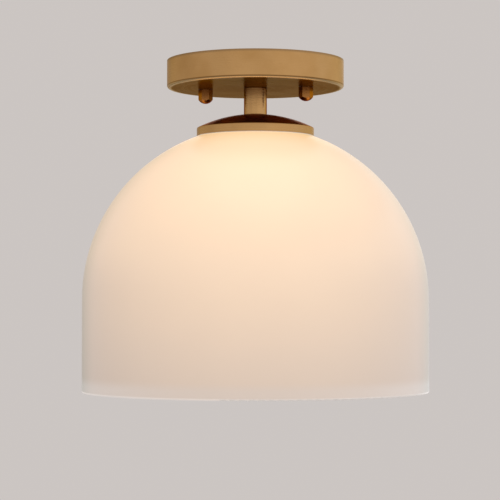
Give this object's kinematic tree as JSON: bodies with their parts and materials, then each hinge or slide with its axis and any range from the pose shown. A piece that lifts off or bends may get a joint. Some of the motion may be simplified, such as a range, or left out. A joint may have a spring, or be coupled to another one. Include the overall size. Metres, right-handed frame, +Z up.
{
  "type": "semi flush ceiling light",
  "caption": "Semi flush ceiling light: round brass canopy, short stem and shallow domed cap over a large opal glass dome shade, open at the bottom, around a standard screw-in bulb.",
  "frame": {"origin": "middle of the mounting plane on the ceiling: the top face of the mounting bar and the canopy's rim lie in it", "axes": "+Z up, out of the light into the ceiling; the light hangs towards -Z; X along the mounting bar and through both canopy screws; -Y is the side the picture shows, turned 13 degrees"},
  "size_m": [0.297, 0.297, 0.2849],
  "materials": {
    "canopy_brass": "satin brushed, lacquered, warm brown brass",
    "stem_brass": "satin brushed, lacquered, warm brown brass",
    "cap_brass": "satin brushed, lacquered, warm brown brass",
    "nut_brass": "satin turned brass, a little more coppery",
    "bar_steel": "zinc plated steel strip",
    "screw_steel": "yellow zinc plated steel",
    "rod_steel": "zinc plated steel",
    "bushing_plastic": "moulded nylon",
    "opal_glass": "opal white blown glass, smooth and glossy",
    "clear_seal": "translucent silicone rubber",
    "ring_plastic": "white moulded thermoset",
    "holder_plastic": "white moulded thermoset",
    "shell_metal": "rolled sheet",
    "contact_brass": "bare brass",
    "lead_black": "smooth insulation",
    "lead_white": "smooth insulation",
    "lead_green": "smooth insulation",
    "connector_plastic": "orange moulded plastic",
    "lug_copper": "tinned copper",
    "ground_green": "green zinc plated screw",
    "bulb_glass": "frosted inside, lit warm white",
    "bulb_metal": "rolled and threaded sheet",
    "bulb_insulator": "black insulating glass",
    "bulb_solder": "soft solder"
  },
  "bodies": {
    "root": {"canopy": "canopy_brass", "mounting_bar": "bar_steel", "canopy_screws": "screw_steel", "screw_lock_nuts": "screw_steel", "threaded_rod": "rod_steel", "canopy_lock_washer": "rod_steel", "canopy_rod_nut": "rod_steel", "cap_lock_washer": "rod_steel", "cap_rod_nut": "rod_steel", "rod_bushing": "bushing_plastic", "stem": "stem_brass", "shade_cap": "cap_brass", "glass_shade": "opal_glass", "shade_seal": "clear_seal", "ring_seal": "clear_seal", "socket_cap": "holder_plastic", "socket_body": "holder_plastic", "screw_shell": "shell_metal", "centre_contact": "contact_brass", "terminal_screws": "contact_brass", "live_lead": "lead_black", "neutral_lead": "lead_white", "wire_connectors": "connector_plastic", "canopy_ground_lug": "lug_copper", "bar_ground_lug": "lug_copper", "ground_screw": "ground_green", "ground_lead": "lead_green"},
    "left_nut": {"left_cap_nut": "nut_brass"},
    "right_nut": {"right_cap_nut": "nut_brass"},
    "ring": {"shade_ring": "ring_plastic"},
    "bulb": {"bulb_envelope": "bulb_glass", "bulb_screw_cap": "bulb_metal", "bulb_insulator": "bulb_insulator", "bulb_tip": "bulb_solder"}
  },
  "joints": [
    {"name": "bulb_out", "type": "slide", "parent": "root", "child": "bulb", "axis": [0, 0, -1], "range_m": [0, 0.215]},
    {"name": "ring_turn", "type": "hinge", "parent": "root", "child": "ring", "pos_m": [0, 0, -0.0672], "axis": [0, 0, 1], "continuous": true},
    {"name": "left_nut_turn", "type": "hinge", "parent": "root", "child": "left_nut", "pos_m": [-0.04445, 0, -0.03], "axis": [0, 0, 1], "continuous": true},
    {"name": "right_nut_turn", "type": "hinge", "parent": "root", "child": "right_nut", "pos_m": [0.04445, 0, -0.03], "axis": [0, 0, 1], "continuous": true}
  ]
}
